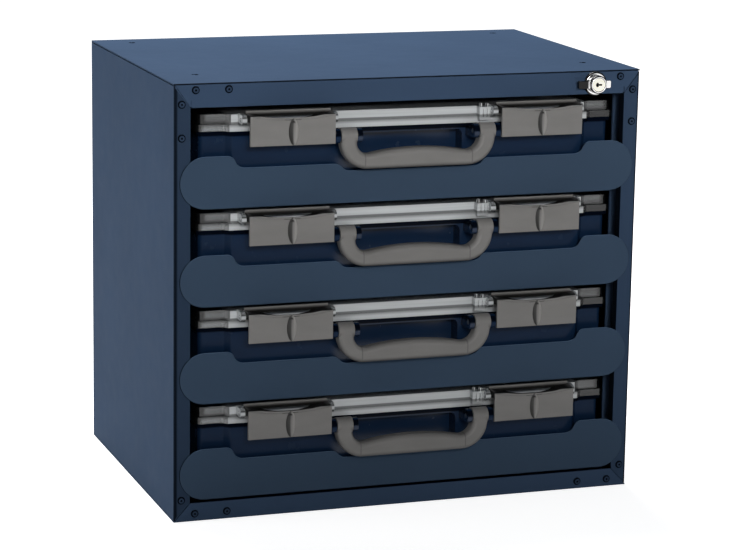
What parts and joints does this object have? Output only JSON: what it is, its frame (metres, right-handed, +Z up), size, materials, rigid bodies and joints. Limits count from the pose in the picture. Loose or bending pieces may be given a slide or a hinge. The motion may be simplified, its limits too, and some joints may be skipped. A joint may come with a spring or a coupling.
{
  "type": "lockable case cabinet",
  "caption": "Lockable steel cabinet of pull-out trays, each holding a carry case with a clear lid, two front latches, a swing handle and bins inside.",
  "frame": {"origin": "centre of the bottom of the whole object's box, on the surface it stands on", "axes": "+X to the cabinet's right seen from the front, +Y to its back, +Z up"},
  "size_m": [0.436, 0.3246, 0.391],
  "materials": {
    "cabinet_paint": "satin powder coat",
    "tub_plastic": "glossy moulded",
    "clear_plastic": "clear",
    "latch_plastic": "fine satin texture",
    "bin_plastic": "satin moulded",
    "chrome": "polished",
    "zinc_steel": "zinc plated"
  },
  "bodies": {
    "cabinet": {"left_side_panel": "cabinet_paint", "right_side_panel": "cabinet_paint", "top_panel": "cabinet_paint", "bottom_panel": "cabinet_paint", "back_panel": "cabinet_paint", "corner_brackets": "cabinet_paint", "frame_rivets": "cabinet_paint", "left_runners": "zinc_steel", "right_runners": "zinc_steel", "bar_guides": "tub_plastic", "lock_body": "chrome", "lock_nut": "zinc_steel"},
    "lock_knob": {"lock_knob": "chrome", "lock_spindle": "zinc_steel", "lock_cam": "zinc_steel"},
    "lock_plug": {"lock_plug": "chrome"},
    "lock_bar": {"lock_bar": "cabinet_paint"},
    "tray_1": {"tray_pan_1": "cabinet_paint", "tray_front_1": "cabinet_paint", "tray_catch_1": "zinc_steel", "case_base_1": "tub_plastic", "case_lid_1": "clear_plastic", "hinge_pins_1": "zinc_steel", "bins_1": "bin_plastic"},
    "latch_left_1": {"latch_left_1": "latch_plastic"},
    "latch_right_1": {"latch_right_1": "latch_plastic"},
    "handle_1": {"handle_1": "latch_plastic"},
    "tray_2": {"tray_pan_2": "cabinet_paint", "tray_front_2": "cabinet_paint", "tray_catch_2": "zinc_steel", "case_base_2": "tub_plastic", "case_lid_2": "clear_plastic", "hinge_pins_2": "zinc_steel", "bins_2": "bin_plastic"},
    "latch_left_2": {"latch_left_2": "latch_plastic"},
    "latch_right_2": {"latch_right_2": "latch_plastic"},
    "handle_2": {"handle_2": "latch_plastic"},
    "tray_3": {"tray_pan_3": "cabinet_paint", "tray_front_3": "cabinet_paint", "tray_catch_3": "zinc_steel", "case_base_3": "tub_plastic", "case_lid_3": "clear_plastic", "hinge_pins_3": "zinc_steel", "bins_3": "bin_plastic"},
    "latch_left_3": {"latch_left_3": "latch_plastic"},
    "latch_right_3": {"latch_right_3": "latch_plastic"},
    "handle_3": {"handle_3": "latch_plastic"},
    "tray_4": {"tray_pan_4": "cabinet_paint", "tray_front_4": "cabinet_paint", "tray_catch_4": "zinc_steel", "case_base_4": "tub_plastic", "case_lid_4": "clear_plastic", "hinge_pins_4": "zinc_steel", "bins_4": "bin_plastic"},
    "latch_left_4": {"latch_left_4": "latch_plastic"},
    "latch_right_4": {"latch_right_4": "latch_plastic"},
    "handle_4": {"handle_4": "latch_plastic"}
  },
  "joints": [
    {"name": "knob_turn", "type": "hinge", "parent": "cabinet", "child": "lock_knob", "pos_m": [0.1739, -0.14925, 0.3793], "axis": [0, 1, 0], "range_deg": [0, 90]},
    {"name": "plug_turn", "type": "hinge", "parent": "lock_knob", "child": "lock_plug", "pos_m": [0.1739, -0.14925, 0.3793], "axis": [0, 1, 0], "range_deg": [0, 90]},
    {"name": "bar_lift", "type": "slide", "parent": "cabinet", "child": "lock_bar", "axis": [0, 0, 1], "range_m": [0, 0.00848]},
    {"name": "tray_slide_1", "type": "slide", "parent": "cabinet", "child": "tray_1", "axis": [0, -1, 0], "range_m": [0, 0.25]},
    {"name": "latch_left_swing_1", "type": "hinge", "parent": "tray_1", "child": "latch_left_1", "pos_m": [-0.1163, -0.14825, 0.3585], "axis": [-1, 0, 0], "range_deg": [0, 70]},
    {"name": "latch_right_swing_1", "type": "hinge", "parent": "tray_1", "child": "latch_right_1", "pos_m": [0.1163, -0.14825, 0.3585], "axis": [-1, 0, 0], "range_deg": [0, 70]},
    {"name": "handle_swing_1", "type": "hinge", "parent": "tray_1", "child": "handle_1", "pos_m": [0, -0.15455, 0.3426], "axis": [-1, 0, 0], "range_deg": [0, 95]},
    {"name": "tray_slide_2", "type": "slide", "parent": "cabinet", "child": "tray_2", "axis": [0, -1, 0], "range_m": [0, 0.25]},
    {"name": "latch_left_swing_2", "type": "hinge", "parent": "tray_2", "child": "latch_left_2", "pos_m": [-0.1163, -0.14825, 0.2714], "axis": [-1, 0, 0], "range_deg": [0, 70]},
    {"name": "latch_right_swing_2", "type": "hinge", "parent": "tray_2", "child": "latch_right_2", "pos_m": [0.1163, -0.14825, 0.2714], "axis": [-1, 0, 0], "range_deg": [0, 70]},
    {"name": "handle_swing_2", "type": "hinge", "parent": "tray_2", "child": "handle_2", "pos_m": [0, -0.15455, 0.2555], "axis": [-1, 0, 0], "range_deg": [0, 95]},
    {"name": "tray_slide_3", "type": "slide", "parent": "cabinet", "child": "tray_3", "axis": [0, -1, 0], "range_m": [0, 0.25]},
    {"name": "latch_left_swing_3", "type": "hinge", "parent": "tray_3", "child": "latch_left_3", "pos_m": [-0.1163, -0.14825, 0.1843], "axis": [-1, 0, 0], "range_deg": [0, 70]},
    {"name": "latch_right_swing_3", "type": "hinge", "parent": "tray_3", "child": "latch_right_3", "pos_m": [0.1163, -0.14825, 0.1843], "axis": [-1, 0, 0], "range_deg": [0, 70]},
    {"name": "handle_swing_3", "type": "hinge", "parent": "tray_3", "child": "handle_3", "pos_m": [0, -0.15455, 0.1684], "axis": [-1, 0, 0], "range_deg": [0, 95]},
    {"name": "tray_slide_4", "type": "slide", "parent": "cabinet", "child": "tray_4", "axis": [0, -1, 0], "range_m": [0, 0.25]},
    {"name": "latch_left_swing_4", "type": "hinge", "parent": "tray_4", "child": "latch_left_4", "pos_m": [-0.1163, -0.14825, 0.0972], "axis": [-1, 0, 0], "range_deg": [0, 70]},
    {"name": "latch_right_swing_4", "type": "hinge", "parent": "tray_4", "child": "latch_right_4", "pos_m": [0.1163, -0.14825, 0.0972], "axis": [-1, 0, 0], "range_deg": [0, 70]},
    {"name": "handle_swing_4", "type": "hinge", "parent": "tray_4", "child": "handle_4", "pos_m": [0, -0.15455, 0.0813], "axis": [-1, 0, 0], "range_deg": [0, 95]}
  ],
  "couplings": [
    {"joint": "knob_turn", "follows": "bar_lift", "rad_per_m": 185.12}
  ]
}
